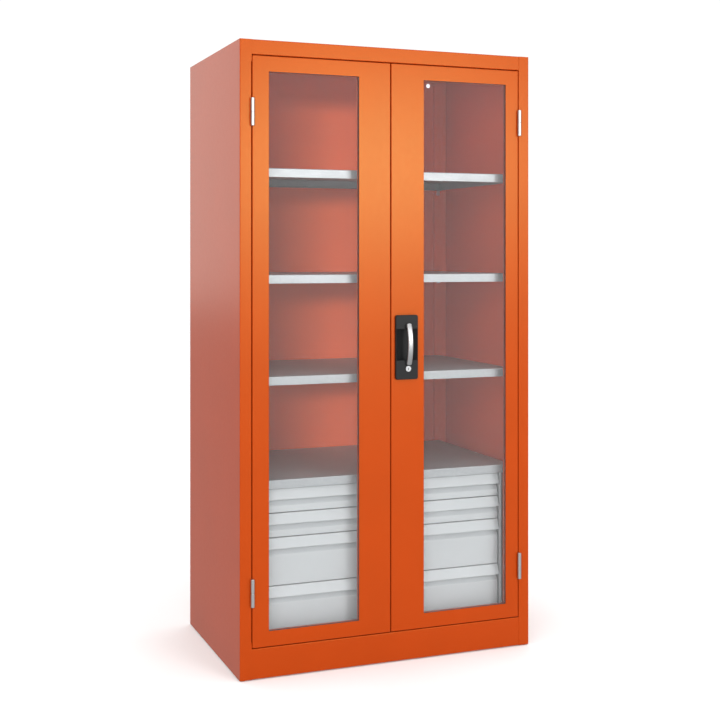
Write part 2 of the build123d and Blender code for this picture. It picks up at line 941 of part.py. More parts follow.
levels = (lower_hinge_height, upper_hinge_height)
save("hinge_frame_knuckles", *[piece for level in levels for piece in left_and_right(frame_knuckle(level))])
save("hinge_pins", *[piece for level in levels for piece in left_and_right(hinge_pin(level))])
save("right_hinge_knuckles", *[door_knuckle(level) for level in levels])
save("left_hinge_knuckles", *[mirrored(door_knuckle(level)) for level in levels])

save("right_door_skin", right_door_skin())
save("left_door_skin", door_skin(-1))
save("right_door_inner_frame", right_door_inner_frame())
save("left_door_inner_frame", door_inner_frame(-1))
save("right_window_pane", window_pane(1))
save("left_window_pane", window_pane(-1))
save("right_window_tapes", *window_tapes(1))
save("left_window_tapes", *window_tapes(-1))

save("handle_plate", handle_plate())
save("handle_lever", handle_lever())
save("handle_spindle", handle_spindle())
save("drive_pinion", drive_pinion())
save("upper_lock_rod", lock_rod(1))
save("lower_lock_rod", lock_rod(-1))
save("rod_guides", *rod_guides())
save("lock_cover", lock_cover())
save("cylinder_body", cylinder_body())
save("key_plug", key_plug())
save("cylinder_cam", cylinder_cam())

save("levelling_feet", *[foot(x, y) for x, y in foot_places()])
save("corner_gussets", *corner_gussets())
save("magnet_catches", *magnet_catches())
save("catch_plates", *catch_plates())
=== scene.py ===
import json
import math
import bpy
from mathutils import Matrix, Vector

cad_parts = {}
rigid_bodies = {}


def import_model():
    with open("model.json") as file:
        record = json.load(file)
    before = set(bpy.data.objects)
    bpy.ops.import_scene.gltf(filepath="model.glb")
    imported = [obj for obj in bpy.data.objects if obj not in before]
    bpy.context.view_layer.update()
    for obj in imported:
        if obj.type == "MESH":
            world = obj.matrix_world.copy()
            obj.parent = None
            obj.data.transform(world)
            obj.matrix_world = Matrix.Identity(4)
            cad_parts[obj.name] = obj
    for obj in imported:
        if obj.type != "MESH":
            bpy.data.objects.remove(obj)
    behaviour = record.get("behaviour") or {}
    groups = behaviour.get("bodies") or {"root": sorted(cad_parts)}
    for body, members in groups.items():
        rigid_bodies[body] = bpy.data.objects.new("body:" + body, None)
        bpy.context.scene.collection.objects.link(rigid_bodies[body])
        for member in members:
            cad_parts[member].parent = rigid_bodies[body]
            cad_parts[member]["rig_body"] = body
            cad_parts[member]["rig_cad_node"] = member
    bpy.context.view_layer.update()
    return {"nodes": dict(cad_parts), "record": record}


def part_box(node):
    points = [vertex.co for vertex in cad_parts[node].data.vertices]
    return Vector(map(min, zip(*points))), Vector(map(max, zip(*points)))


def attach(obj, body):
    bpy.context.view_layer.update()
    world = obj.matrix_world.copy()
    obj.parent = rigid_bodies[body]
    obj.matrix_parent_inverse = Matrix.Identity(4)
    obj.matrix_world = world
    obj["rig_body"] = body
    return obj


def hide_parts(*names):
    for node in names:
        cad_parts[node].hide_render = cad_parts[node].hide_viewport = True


bl_info = {
    "name": "Glazed Storage Cabinet",
    "version": (1, 0, 0),
    "blender": (4, 5, 0),
    "location": "3D View > Sidebar > Cabinet",
    "description": "Models the sheet work, fittings and finishes of a two-door glazed storage cabinet",
    "category": "Object",
}

import bmesh
import bpy
from mathutils import Vector

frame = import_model()

MM = 0.001
SIDES = ("left", "right")
# Points closer than these are one: when edges are picked, and when a spun bar is closed
SAME_PLACE = 0.00001
SAME_CORNER = 0.000001
# Least share of a face's normal, or of an edge's run, along the axis that it is said to follow
FACING = 0.9
STRAIGHT = 0.99
# Flat sides of round pieces that are seen from near, and of the finger recess
TURNED_SIDES = 96
RECESS_SIDES = 160
# Half the length and half the width of a screw's cross recess, as shares of its head
CROSS_REACH = 0.32
CROSS_WIDTH = 0.07
# How far the outer finish reaches in from the carcass's outer faces and from its front
OUTER_SKIN = 0.5 * MM
FRONT_EDGE = 50 * MM
# How far a ground weld reaches over its rail
WELD_LAP = 0.5 * MM
# Range that a noise value mostly fills
NOISE_LOW = 0.3
NOISE_HIGH = 0.7
COAT_IOR = 1.45
GLASS_IOR = 1.5
FLOOR_WHITE = (0.9, 0.9, 0.9)
# Direction from the cabinet to the middle of the backdrop
TOWARD_BACKDROP = (0.5, 0.866, 0)


def measure(name, millimetres, note):
    """Length property given in millimetres."""
    return bpy.props.FloatProperty(
        name=name,
        description=note,
        default=millimetres * MM,
        min=0.0,
        unit="LENGTH",
        subtype="DISTANCE",
    )


def tint(name, colour, note):
    """Colour property in linear light."""
    return bpy.props.FloatVectorProperty(
        name=name, description=note, default=colour, min=0.0, max=1.0, size=3, subtype="COLOR"
    )


def share(name, value, note, high=1.0):
    """Plain number, from nothing to a stated limit."""
    return bpy.props.FloatProperty(name=name, description=note, default=value, min=0.0, max=high)


def signed(name, value, note):
    """Plain number that may be below nothing."""
    return bpy.props.FloatProperty(name=name, description=note, default=value)


def metres(name, values, note):
    """Place, or width and height, in metres."""
    return bpy.props.FloatVectorProperty(
        name=name, description=note, default=values, size=len(values), unit="LENGTH"
    )


class CabinetSizes(bpy.types.PropertyGroup):
    """Sizes of what is seen in the finished cabinet and not set by its frame."""

    door_sheet: measure("Sheet", 1.2, "Gauge of the doors, shelves and drawers")
    fold: measure("Fold radius", 2.0, "Radius of a fold in the sheet")
    hem: measure("Cut edge", 0.3, "Rounding of a cut sheet edge")
    pane_lap: measure("Pane lap", 12.0, "How far a pane lies behind the door's sheet")
    ground_edge: measure("Ground edge", 0.6, "Chamfer round a pane")
    tape_reach: measure("Tape width", 9.0, "Width of the glazing tapes")
    weld_wide: measure("Weld width", 2.6, "Width of the ground weld at the left corners")
    barrel_edge: measure("Barrel edge", 0.8, "Rounding at the ends of the hinge barrels")
    plate_corner: measure("Plate corner", 7.0, "Corner radius of the handle plate")
    plate_edge: measure("Plate edge", 1.8, "Rounding along the front of the handle plate")
    plate_arris: measure("Plate arris", 0.5, "Rounding of the recess and the holes in the plate")
    recess_foot: measure("Recess foot", 61.0, "Height of the finger recess above the plate's foot")
    recess_height: measure("Recess height", 100.0, "Height of the finger recess")
    recess_wall: measure("Recess wall", 2.0, "Wall behind the finger recess")
    recess_border: measure("Recess border", 1.5, "Flat left beside the finger recess")
    recess_room: measure("Recess room", 3.0, "Room round the recess in the door's sheet")
    recess_reach: measure("Recess reach", 33.6, "Half the width of the room for the recess")
    spindle: measure("Spindle", 11.8, "Diameter of the lever's spindle")
    cylinder: measure("Cylinder", 15.8, "Diameter of the key cylinder's barrel")
    turning_room: measure("Turning room", 0.1, "Play round what turns in the plate")
    barrel_room: measure("Barrel room", 1.0, "Play round what passes through the door's sheet")
    rim_edge: measure("Rim edge", 0.6, "Rounding of the cylinder's rim")
    key_slot: measure("Key slot", 2.0, "Width of the key slot")
    key_slot_height: measure("Key slot height", 7.0, "Height of the key slot")
    key_slot_deep: measure("Key slot depth", 6.0, "Depth of the key slot")
    lever_thick: measure("Lever thickness", 9.0, "Thickness of the bow lever")
    lever_flat: measure("Lever flat", 0.3, "Flat left between the lever's rounded edges")
    lever_edge: measure("Lever edge", 1.0, "Rounding at the lever's ends")
    screw: measure("Screw head", 7.0, "Diameter of a cover screw's head")
    screw_head: measure("Screw head height", 2.0, "Height of a cover screw's head")
    screw_inset: measure("Screw inset", 7.0, "Distance of the cover screws from its corners")
    shelf_return: measure("Shelf return", 16.0, "Width of the fold under a shelf's lip")
    grip_reach: measure("Grip reach", 12.6, "How far the grip stands out from the drawer's face")
    grip_recess: measure("Grip recess", 25.0, "Depth of the finger room under the grip")
    grip_height: measure("Grip height", 32.0, "Height of the sloping grip")
    grip_under: measure("Grip underside", 3.5, "Fall of the grip's underside")
    grip_slope: measure("Finger slope", 18.0, "Height of the slope below the finger room")
    face_turn: measure("Face turn", 16.0, "Width of the folds that seat a front on its box")
    face_fold: measure("Face fold", 1.2, "Fold radius of the drawer fronts")
    foot: measure("Foot", 20.0, "Diameter of a foot")
    foot_pad: measure("Foot pad", 4.5, "Height of a foot's pad")
    foot_edge: measure("Foot edge", 1.2, "Rounding of a foot's pad")
    stud: measure("Stud", 8.0, "Diameter of a foot's stud")
    nut: measure("Nut", 15.0, "Width over the corners of a foot's nut")
    nut_height: measure("Nut height", 6.5, "Height of a foot's nut")
    catch_edge: measure("Catch edge", 0.6, "Rounding of the magnet catches")


class CabinetColours(bpy.types.PropertyGroup):
    """Colours of the finishes and the haze of the panes."""

    orange: tint("Orange coat", (0.38, 0.032, 0.0005), "Powder coat of the carcass and the doors")
    # Painted light: this inside colour is far brighter than the outer coat, standing in for light in the
    # shaded interior.
    orange_inside_painted_light: tint("Orange inside", (0.77, 0.09, 0.018), "Duller powder coat inside the carcass")
    orange_sheen: tint("Orange sheen", (1.0, 0.90, 0.30), "Tint of what the orange coat reflects")
    grey: tint("Grey coat", (0.385, 0.405, 0.415), "Powder coat of the drawers and their cradles")
    galvanised: tint("Galvanised sheet", (0.32, 0.338, 0.348), "Shelves")
    zinc: tint("Zinc plate", (0.58, 0.60, 0.62), "Plated rods, runners, hooks and small fittings")
    chrome: tint("Satin plate", (0.45, 0.455, 0.46), "Lever, key cylinder and its plug")
    hinge: tint("Hinge plate", (0.54, 0.55, 0.56), "Hinge barrels and their leaves")
    black: tint("Black plastic", (0.013, 0.0135, 0.014), "Handle plate, rod guides and magnet catches")
    foam: tint("Foam strip", (0.030, 0.030, 0.032), "Seals and glazing tapes")
    glass: tint("Glazing", (0.92, 0.95, 0.96), "Clear panes")
    haze: share("Haze", 0.018, "How much of the light a pane scatters")
    slant_haze: share("Slant haze", 0.3, "How much a pane's haze gains with its mirroring at a slant")


class CabinetStudio(bpy.types.PropertyGroup):
    """Camera, floor and lights."""

    lens: share("Lens", 59.017, "Focal length in millimetres", 300.0)
    yaw: share("Yaw", 20.1876, "Degrees that the camera is turned to the right", 180.0)
    shift_across: signed("Shift across", 0.07213, "Sideways lens shift")
    shift_up: signed("Shift up", -0.14733, "Upward lens shift")
    camera_place: metres("Camera", (-1.5389, -3.70846, 1.29696), "Where the camera stands")
    floor_width: share("Floor", 60.0, "Width of the floor in metres", 200.0)
    ambient: share("Surroundings", 0.54, "Strength of the surroundings on all sides", 5.0)
    underfoot: share("Underfoot", 0.58, "Strength of what low reflections see", 5.0)
    backdrop: share("Backdrop", 0.5, "Added strength of the backdrop behind the cabinet", 5.0)
    zenith: share("Overhead", 1.2, "Added strength straight overhead", 5.0)
    key_power: share("Key light", 198.0, "Watts of the softbox in front on the right", 5000.0)
    fill_power: share("Fill light", 138.0, "Watts of the softbox in front on the left", 5000.0)
    side_power: share("Side light", 12.0, "Watts of the softbox behind on the left", 5000.0)
    key_place: metres("Key place", (2.3, -6.3, 2.07), "Where the key softbox hangs")
    fill_place: metres("Fill place", (-3.1, -5.0, 2.3), "Where the fill softbox hangs")
    side_place: metres("Side place", (-1.6, 3.3, 2.2), "Where the side softbox hangs")
    key_size: metres("Key size", (2.8, 0.6), "Width and height of the key softbox")
    fill_size: metres("Fill size", (3.0, 3.0), "Width and height of the fill softbox")
    side_size: metres("Side size", (1.6, 2.6), "Width and height of the side softbox")


def sizes():
    return bpy.context.scene.cabinet_sizes


def colours():
    return bpy.context.scene.cabinet_colours


def studio():
    return bpy.context.scene.cabinet_studio


def blank_material(name):
    """New node material, its tree, its shader and the piece's own coordinates."""
    material = bpy.data.materials.new(name)
    material.use_nodes = True
    tree = material.node_tree
    shader = tree.nodes["Principled BSDF"]
    place = tree.nodes.new("ShaderNodeTexCoord")
    return material, tree, shader, place.outputs["Object"]


def stretched(tree, coords, scale):
    """Coordinates scaled by a vector, for brushing with a direction."""
    mapping = tree.nodes.new("ShaderNodeMapping")
    mapping.inputs["Scale"].default_value = scale
    tree.links.new(coords, mapping.inputs["Vector"])
    return mapping.outputs["Vector"]


def noise(tree, coords, scale, detail):
    """Noise value on the given coordinates."""
    node = tree.nodes.new("ShaderNodeTexNoise")
    node.inputs["Scale"].default_value = scale
    node.inputs["Detail"].default_value = detail
    tree.links.new(coords, node.inputs["Vector"])
    return node.outputs["Fac"]


def between(tree, factor, low, high):
    """Value that runs from low to high as a noise goes through its range."""
    node = tree.nodes.new("ShaderNodeMapRange")
    node.inputs["From Min"].default_value = NOISE_LOW
    node.inputs["From Max"].default_value = NOISE_HIGH
    node.inputs["To Min"].default_value = low
    node.inputs["To Max"].default_value = high
    tree.links.new(factor, node.inputs["Value"])
    return node.outputs["Result"]


def shaded(tree, factor, colour, spread):
    """Colour that drifts by a share to darker and lighter."""
    ramp = tree.nodes.new("ShaderNodeValToRGB")
    ramp.color_ramp.elements[0].position = NOISE_LOW
    ramp.color_ramp.elements[0].color = [c * (1 - spread) for c in colour] + [1]
    ramp.color_ramp.elements[1].position = NOISE_HIGH
    ramp.color_ramp.elements[1].color = [min(1, c * (1 + spread)) for c in colour] + [1]
    tree.links.new(factor, ramp.inputs["Fac"])
    return ramp.outputs["Color"]


def bumped(tree, shader, height, distance, strength):
    """Fine relief on a surface."""
    bump = tree.nodes.new("ShaderNodeBump")
    bump.inputs["Strength"].default_value = strength
    bump.inputs["Distance"].default_value = distance
    tree.links.new(height, bump.inputs["Height"])
    tree.links.new(bump.outputs["Normal"], shader.inputs["Normal"])


def inside_carcass(tree, coords):
    """One inside the carcass, nothing on its outer faces and its front."""
    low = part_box("left_side_panel")[0] + Vector((OUTER_SKIN, FRONT_EDGE, OUTER_SKIN))
    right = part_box("right_side_panel")[1].x
    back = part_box("back_panel")[1].y
    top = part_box("roof_panel")[1].z
    high = Vector((right, back, top)) - Vector((OUTER_SKIN, OUTER_SKIN, OUTER_SKIN))
    steps = (
        ("SUBTRACT", (low + high) / 2),
        ("ABSOLUTE", None),
        ("SUBTRACT", (high - low) / 2),
    )
    place = coords
    for operation, value in steps:
        node = tree.nodes.new("ShaderNodeVectorMath")
        node.operation = operation
        tree.links.new(place, node.inputs[0])
        if value:
            node.inputs[1].default_value = value
        place = node.outputs["Vector"]
    parts = tree.nodes.new("ShaderNodeSeparateXYZ")
    tree.links.new(place, parts.inputs["Vector"])
    furthest = parts.outputs["X"]
    for axis in ("Y", "Z"):
        node = tree.nodes.new("ShaderNodeMath")
        node.operation = "MAXIMUM"
        tree.links.new(furthest, node.inputs[0])
        tree.links.new(parts.outputs[axis], node.inputs[1])
        furthest = node.outputs["Value"]
    within = tree.nodes.new("ShaderNodeMath")
    within.operation = "LESS_THAN"
    within.inputs[1].default_value = 0
    tree.links.new(furthest, within.inputs[0])
    return within.outputs["Value"]


def chosen(tree, factor, kind, first, second):
    """First value or colour where the factor is nothing, second where it is one."""
    node = tree.nodes.new("ShaderNodeMix")
    node.data_type = kind
    entry, result = {"FLOAT": (2, 0), "RGBA": (6, 2)}[kind]
    tree.links.new(factor, node.inputs[0])
    tree.links.new(first, node.inputs[entry])
    tree.links.new(second, node.inputs[entry + 1])
    return node.outputs[result]


def coat_colour(tree, coords, colour):
    """Powder coat's colour with its faint drift."""
    return shaded(tree, noise(tree, coords, scale=5, detail=3), colour, spread=0.03)


def coat_roughness(tree, coords, roughness, spread):
    """Powder coat's roughness, which varies a little to both sides."""
    drift = noise(tree, coords, scale=60, detail=2)
    return between(tree, drift, roughness - spread, roughness + spread)


def powder_coat(name, colour, roughness):
    """Baked powder coat with the dimples of orange peel."""
    material, tree, shader, coords = blank_material(name)
    shader.inputs["IOR"].default_value = COAT_IOR
    tree.links.new(coat_colour(tree, coords, colour), shader.inputs["Base Color"])
    tree.links.new(coat_roughness(tree, coords, roughness, spread=0.01), shader.inputs["Roughness"])
    dimples = noise(tree, coords, scale=600, detail=1)
    bumped(tree, shader, dimples, distance=0.00005, strength=0.02)
    return material


def two_sided_coat(name, paint):
    """Powder coat that is glossier outside the carcass than inside it; inside, a brighter colour is
    painted light that brightens the shaded interior.
    """
    material = powder_coat(name, paint.orange, roughness=0.33)
    tree = material.node_tree
    shader = tree.nodes["Principled BSDF"]
    shader.inputs["Specular Tint"].default_value = (*paint.orange_sheen, 1)
    coords = tree.nodes["Texture Coordinate"].outputs["Object"]
    inside = inside_carcass(tree, coords)
    # Painted light: the inside of the carcass gets a brighter colour than the outer coat, standing in
    # for light there.
    inside_painted_light_colour = coat_colour(tree, coords, paint.orange_inside_painted_light)
    rough = coat_roughness(tree, coords, roughness=0.65, spread=0.03)
    for label, kind, other in (("Base Color", "RGBA", inside_painted_light_colour), ("Roughness", "FLOAT", rough)):
        socket = shader.inputs[label]
        tree.links.new(chosen(tree, inside, kind, socket.links[0].from_socket, other), socket)
    return material


def plated_steel(name, colour, roughness, brushing):
    """Plated metal, brushed along one direction."""
    material, tree, shader, coords = blank_material(name)
    shader.inputs["Metallic"].default_value = 1.0
    lines = noise(tree, stretched(tree, coords, brushing), scale=1.0, detail=4)
    tree.links.new(shaded(tree, lines, colour, spread=0.06), shader.inputs["Base Color"])
    rough = between(tree, lines, roughness - 0.06, roughness + 0.08)
    tree.links.new(rough, shader.inputs["Roughness"])
    bumped(tree, shader, lines, distance=0.0001, strength=0.15)
    return material


def spangled_zinc(name, colour, roughness):
    """Dull hot-dip zinc with its faint crystal pattern."""
    material, tree, shader, coords = blank_material(name)
    shader.inputs["Metallic"].default_value = 0.42
    crystals = tree.nodes.new("ShaderNodeTexVoronoi")
    crystals.inputs["Scale"].default_value = 120
    tree.links.new(coords, crystals.inputs["Vector"])
    spangle = shaded(tree, crystals.outputs["Distance"], colour, spread=0.04)
    tree.links.new(spangle, shader.inputs["Base Color"])
    clouds = noise(tree, coords, scale=25, detail=2)
    rough = between(tree, clouds, roughness - 0.03, roughness + 0.03)
    tree.links.new(rough, shader.inputs["Roughness"])
    return material


def moulded_plastic(name, colour, roughness):
    """Black moulding with a fine spark-eroded grain."""
    material, tree, shader, coords = blank_material(name)
    shader.inputs["Specular IOR Level"].default_value = 0.15
    flecks = noise(tree, coords, scale=1500, detail=1)
    tree.links.new(shaded(tree, flecks, colour, spread=0.25), shader.inputs["Base Color"])
    grain = noise(tree, coords, scale=900, detail=2)
    rough = between(tree, grain, roughness - 0.06, roughness + 0.06)
    tree.links.new(rough, shader.inputs["Roughness"])
    pits = noise(tree, coords, scale=1400, detail=2)
    bumped(tree, shader, pits, distance=0.0003, strength=0.35)
    return material


def foam_strip(name, colour):
    """Dull closed-cell strip."""
    material, tree, shader, coords = blank_material(name)
    cells = noise(tree, coords, scale=700, detail=3)
    tree.links.new(shaded(tree, cells, colour, spread=0.3), shader.inputs["Base Color"])
    shader.inputs["Roughness"].default_value = 0.85
    pores = noise(tree, coords, scale=1100, detail=2)
    bumped(tree, shader, pores, distance=0.0004, strength=0.5)
    return material


def clear_pane(name, paint):
    """Thin clear pane: see-through, with a faint even haze that grows at a slant."""
    material, tree, shader, coords = blank_material(name)
    shader.inputs["Base Color"].default_value = (*paint.glass, 1)
    shader.inputs["Specular IOR Level"].default_value = 0.2
    waves = noise(tree, coords, scale=3, detail=2)
    tree.links.new(between(tree, waves, 0.46, 0.5), shader.inputs["Roughness"])
    slant = tree.nodes.new("ShaderNodeFresnel")
    slant.inputs["IOR"].default_value = GLASS_IOR
    film = tree.nodes.new("ShaderNodeMath")
    film.operation = "MULTIPLY_ADD"
    film.inputs[1].default_value = paint.slant_haze
    film.inputs[2].default_value = paint.haze
    film.use_clamp = True
    tree.links.new(slant.outputs["Fac"], film.inputs[0])
    tree.links.new(film.outputs["Value"], shader.inputs["Alpha"])
    return material


FINISHES = {
    "orange_paint": "orange_powder_coat",
    "grey_paint": "grey_powder_coat",
    "galvanised_sheet": "dull_galvanising",
    "zinc_steel": "bright_zinc",
    "hinge_steel": "hinge_plating",
    "clear_glazing": "clear_pane",
    "grey_foam": "foam_strip",
    "black_plastic": "black_moulding",
    "satin_chrome": "satin_plating",
}


def make_materials():
    """Make the finish of every material slot in the frame."""
    paint = colours()
    two_sided_coat(FINISHES["orange_paint"], paint)
    powder_coat(FINISHES["grey_paint"], paint.grey, roughness=0.42)
    spangled_zinc(FINISHES["galvanised_sheet"], paint.galvanised, roughness=0.44)
    plated_steel(FINISHES["zinc_steel"], paint.zinc, roughness=0.34, brushing=(90, 90, 600))
    plated_steel(FINISHES["hinge_steel"], paint.hinge, roughness=0.36, brushing=(900, 900, 60))
    clear_pane(FINISHES["clear_glazing"], paint)
    foam_strip(FINISHES["grey_foam"], paint.foam)
    moulded_plastic(FINISHES["black_plastic"], paint.black, roughness=0.42)
    plated_steel(FINISHES["satin_chrome"], paint.chrome, roughness=0.40, brushing=(1200, 1200, 40))


def finish(slot):
    """Finish of one material slot."""
    return bpy.data.materials[FINISHES[slot]]


def clear_selection():
    """Go back to object mode with nothing selected."""
    if bpy.context.object and bpy.context.object.mode != "OBJECT":
        bpy.ops.object.mode_set(mode="OBJECT")
    bpy.ops.object.select_all(action="DESELECT")


def solo(piece):
    """Select one piece and nothing else, in object mode."""
    clear_selection()
    piece.select_set(True)
    bpy.context.view_layer.objects.active = piece


def slab(name, low, high):
    """Block between two corners, ready to be shaped."""
    clear_selection()
    size = Vector(high) - Vector(low)
    bpy.ops.mesh.primitive_cube_add(size=1, location=(Vector(low) + Vector(high)) / 2)
    piece = bpy.context.object
    piece.name = name
    piece.scale = size
    bpy.ops.object.transform_apply(location=True, rotation=True, scale=True)
    return piece


def round_bar(name, start, end, radius, sides=64):
    """Round bar between two points."""
    clear_selection()
    start = Vector(start)
    run = Vector(end) - start
    turn = run.to_track_quat("Z", "Y").to_euler()
    bpy.ops.mesh.primitive_cylinder_add(
        vertices=sides, radius=radius, depth=run.length, location=start + run / 2, rotation=turn
    )
    piece = bpy.context.object
    piece.name = name
    bpy.ops.object.transform_apply(location=True, rotation=True, scale=True)
    return piece


def choose(piece, kind, test):
    """In edit mode, select the faces or edges that pass the test and nothing else."""
    if bpy.context.object is not piece or piece.mode != "EDIT":
        solo(piece)
        bpy.ops.object.mode_set(mode="EDIT")
    bpy.ops.mesh.select_mode(type=kind)
    bpy.ops.mesh.select_all(action="DESELECT")
    mesh = bmesh.from_edit_mesh(piece.data)
    mesh.normal_update()
    for part in mesh.faces if kind == "FACE" else mesh.edges:
        if test(part):
            part.select_set(True)
    bmesh.update_edit_mesh(piece.data)


def everything(part):
    return True


def middle(edge):
    return (edge.verts[0].co + edge.verts[1].co) / 2


def along(edge, axis):
    """Whether an edge runs along an axis."""
    run = edge.verts[1].co - edge.verts[0].co
    return abs(run[axis]) > STRAIGHT * run.length


def at_corner(edge, corner):
    """Whether an edge's middle lies at the depth and height of a corner."""
    return (middle(edge) - corner).yz.length < SAME_PLACE


def folded(edge):
    """Whether two faces of a thin sheet meet at this edge with a fold between them."""
    return len(edge.link_faces) == 2 and edge.calc_face_angle() > math.radians(5)


def modified(piece, kind, **settings):
    """Add one modifier with these settings and apply it."""
    solo(piece)
    bpy.ops.object.modifier_add(type=kind)
    modifier = piece.modifiers[-1]
    for name, value in settings.items():
        setattr(modifier, name, value)
    bpy.ops.object.modifier_apply(modifier=modifier.name)


def softened(piece, width, segments=2, angle=40):
    """Round every edge that is sharper than the angle."""
    limit = math.radians(angle)
    modified(piece, "BEVEL", width=width, segments=segments, limit_method="ANGLE", angle_limit=limit)


def combined(piece, other, operation):
    """Cut, join or intersect one piece with another, which is used up."""
    modified(piece, "BOOLEAN", operation=operation, object=other, solver="EXACT")
    bpy.data.objects.remove(other)


def joined(name, pieces):
    """Several separate shells as one piece."""
    solo(pieces[0])
    for piece in pieces[1:]:
        piece.select_set(True)
    bpy.ops.object.join()
    pieces[0].name = name
    return pieces[0]


def settle(piece, slot, body, *nodes):
    """Smooth a finished piece, give it its finish, and let it ride its body and stand for its nodes."""
    solo(piece)
    bpy.ops.object.shade_smooth_by_angle(angle=math.radians(35))
    modified(piece, "WEIGHTED_NORMAL", keep_sharp=True)
    piece.data.materials.clear()
    piece.data.materials.append(finish(slot))
    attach(piece, body)
    if nodes:
        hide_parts(*nodes)
    return piece


def body_name(node):
    return frame["nodes"][node]["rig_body"]


def slot_name(node):
    return next(part["material_slot"] for part in frame["record"]["subparts"] if part["node"] == node)


def dressed(node, width, segments=2):
    """Copy of a frame piece with merged faces and softened edges, which stands for it."""
    solo(frame["nodes"][node])
    bpy.ops.object.duplicate()
    piece = bpy.context.object
    piece.name = f"{node}_finished"
    bpy.ops.object.parent_clear(type="CLEAR_KEEP_TRANSFORM")
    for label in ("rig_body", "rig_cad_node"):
        del piece[label]
    bpy.ops.mesh.customdata_custom_splitnormals_clear()
    choose(piece, "FACE", everything)
    bpy.ops.mesh.remove_doubles(threshold=SAME_PLACE)
    bpy.ops.mesh.dissolve_limited(angle_limit=math.radians(0.5))
    if width > 0:
        softened(piece, width, segments)
    return settle(piece, slot_name(node), body_name(node), node)


def flat_ring(name, opening, near, far, width):
    """Ring round an opening (left, right, foot, head), from one depth to another."""
    left, right, foot, head = opening
    clear_selection()
    place = ((left + right) / 2, near, (foot + head) / 2)
    bpy.ops.mesh.primitive_plane_add(size=1, location=place, rotation=(math.pi / 2, 0, 0))
    piece = bpy.context.object
    piece.name = name
    piece.scale = (right - left + 2 * width, head - foot + 2 * width, 1)
    bpy.ops.object.transform_apply(location=True, rotation=True, scale=True)
    choose(piece, "FACE", everything)
    bpy.ops.mesh.inset(thickness=width)
    bpy.ops.mesh.delete(type="FACE")
    modified(piece, "SOLIDIFY", thickness=far - near, offset=-1)
    return piece


def folded_sheet(name, corners, left, right, gauge, fold, hem):
    """Sheet folded along a side outline of (y, z) corners, given by its middle."""
    clear_selection()
    first = Vector((0, *corners[0]))
    second = Vector((0, *corners[1]))
    run = second - first
    turn = math.atan2(run.z, run.y)
    centre = Vector(((left + right) / 2, 0, 0)) + (first + second) / 2
    bpy.ops.mesh.primitive_plane_add(size=1, location=centre, rotation=(turn, 0, 0))
    piece = bpy.context.object
    piece.name = name
    piece.scale = (right - left, run.length, 1)
    bpy.ops.object.transform_apply(location=True, rotation=True, scale=True)
    for start, end in zip(corners[1:], corners[2:]):
        end_point = Vector((0, *start))
        choose(piece, "EDGE", lambda edge: at_corner(edge, end_point))
        step = (0, end[0] - start[0], end[1] - start[1])
        bpy.ops.mesh.extrude_region_move(TRANSFORM_OT_translate={"value": step})
    choose(piece, "EDGE", folded)
    bpy.ops.mesh.bevel(offset=fold, segments=4, affect="EDGES")
    modified(piece, "SOLIDIFY", thickness=gauge, offset=0)
    softened(piece, hem)
    return piece


def window(side):
    """Left, right, foot and head of a door's window opening."""
    low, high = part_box(f"{side}_window_pane")
    lap = sizes().pane_lap
    return low.x + lap, high.x - lap, low.z + lap, high.z - lap


def opened(piece, opening):
    """Cut a rectangular opening in the front of a thin shell."""
    left, right, foot, head = opening
    across = Vector((1, 0, 0))
    up = Vector((0, 0, 1))
    cuts = [(edge * across, across) for edge in (left, right)]
    cuts += [(edge * up, up) for edge in (foot, head)]
    for place, normal in cuts:
        choose(piece, "FACE", everything)
        bpy.ops.mesh.bisect(plane_co=place, plane_no=normal)

    def inside(face):
        centre = face.calc_center_median()
        return face.normal.y < -FACING and left < centre.x < right and foot < centre.z < head

    choose(piece, "FACE", inside)
    bpy.ops.mesh.delete(type="FACE")


class CABINET_OT_finishes(bpy.types.Operator):
    """Give every piece of the frame the finish of its material slot"""

    bl_idname = "cabinet.finishes"
    bl_label = "Frame finishes"

    def execute(self, context):
        make_materials()
        for part in frame["record"]["subparts"]:
            for slot in frame["nodes"][part["node"]].material_slots:
                slot.material = finish(part["material_slot"])
        return {"FINISHED"}


class CABINET_OT_carcass(bpy.types.Operator):
    """Soften the cut edges of the carcass sheets, the shelf uprights and the drawer supports"""

    bl_idname = "cabinet.carcass"
    bl_label = "Carcass sheets"

    def execute(self, context):
        sheets = [f"{side}_{name}" for side in SIDES for name in ("side_panel", "drawer_cradle")]
        sheets += ["back_panel", "roof_panel", "header_rail", "plinth_rail", "floor_panel", "rear_brace"]
        sheets += [f"{end}_{side}_upright" for end in ("front", "rear") for side in SIDES]
        sheets += ["corner_gussets", "fixed_runners", "shelf_hooks"]
        for node in sheets:
            dressed(node, sizes().hem)
        self.ground_welds()
        return {"FINISHED"}

    def ground_welds(self):
        """Fill the seams beside the left stile, flush with the front."""
        wide = sizes().weld_wide
        fills = []
        for node in ("header_rail", "plinth_rail"):
            low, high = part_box(node)
            start = low.x - wide + WELD_LAP
            fills.append(slab("fill", (start, low.y, low.z), (start + wide, low.y + wide / 2, high.z)))
        settle(joined("ground_welds", fills), "orange_paint", body_name("header_rail"))


